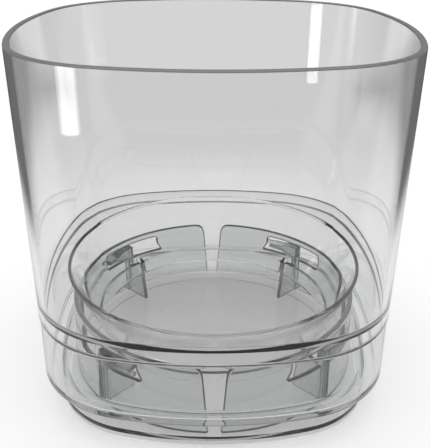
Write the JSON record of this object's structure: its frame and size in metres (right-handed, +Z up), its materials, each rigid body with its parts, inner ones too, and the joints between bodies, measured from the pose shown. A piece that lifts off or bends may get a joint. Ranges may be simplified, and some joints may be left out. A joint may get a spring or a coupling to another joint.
{
  "type": "orchid pot",
  "caption": "Clear rounded-square orchid pot with a deep round well, standing on a matching water tray with a slotted collar.",
  "frame": {"origin": "middle of the footprint, at the height that the foot stands on", "axes": "+Z up out of the mouth, -Y towards the flat front, +X to the right; the plan is a rounded square"},
  "size_m": [0.15, 0.15, 0.144],
  "materials": {
    "clear_pot": "clear, slightly grey injection-moulded styrene, polished",
    "clear_tray": "clear, slightly grey injection-moulded styrene, polished",
    "clear_clip": "clear, slightly grey injection-moulded styrene"
  },
  "bodies": {
    "tray": {"water_tray": "clear_tray", "rib_clip_back_right": "clear_clip", "rib_clip_back_left": "clear_clip", "rib_clip_front_left": "clear_clip", "rib_clip_front_right": "clear_clip"},
    "pot": {"pot_body": "clear_pot"}
  },
  "joints": [
    {"name": "pot_lift", "type": "slide", "parent": "tray", "child": "pot", "axis": [0, 0, 1], "range_m": [0, 0.045]}
  ]
}
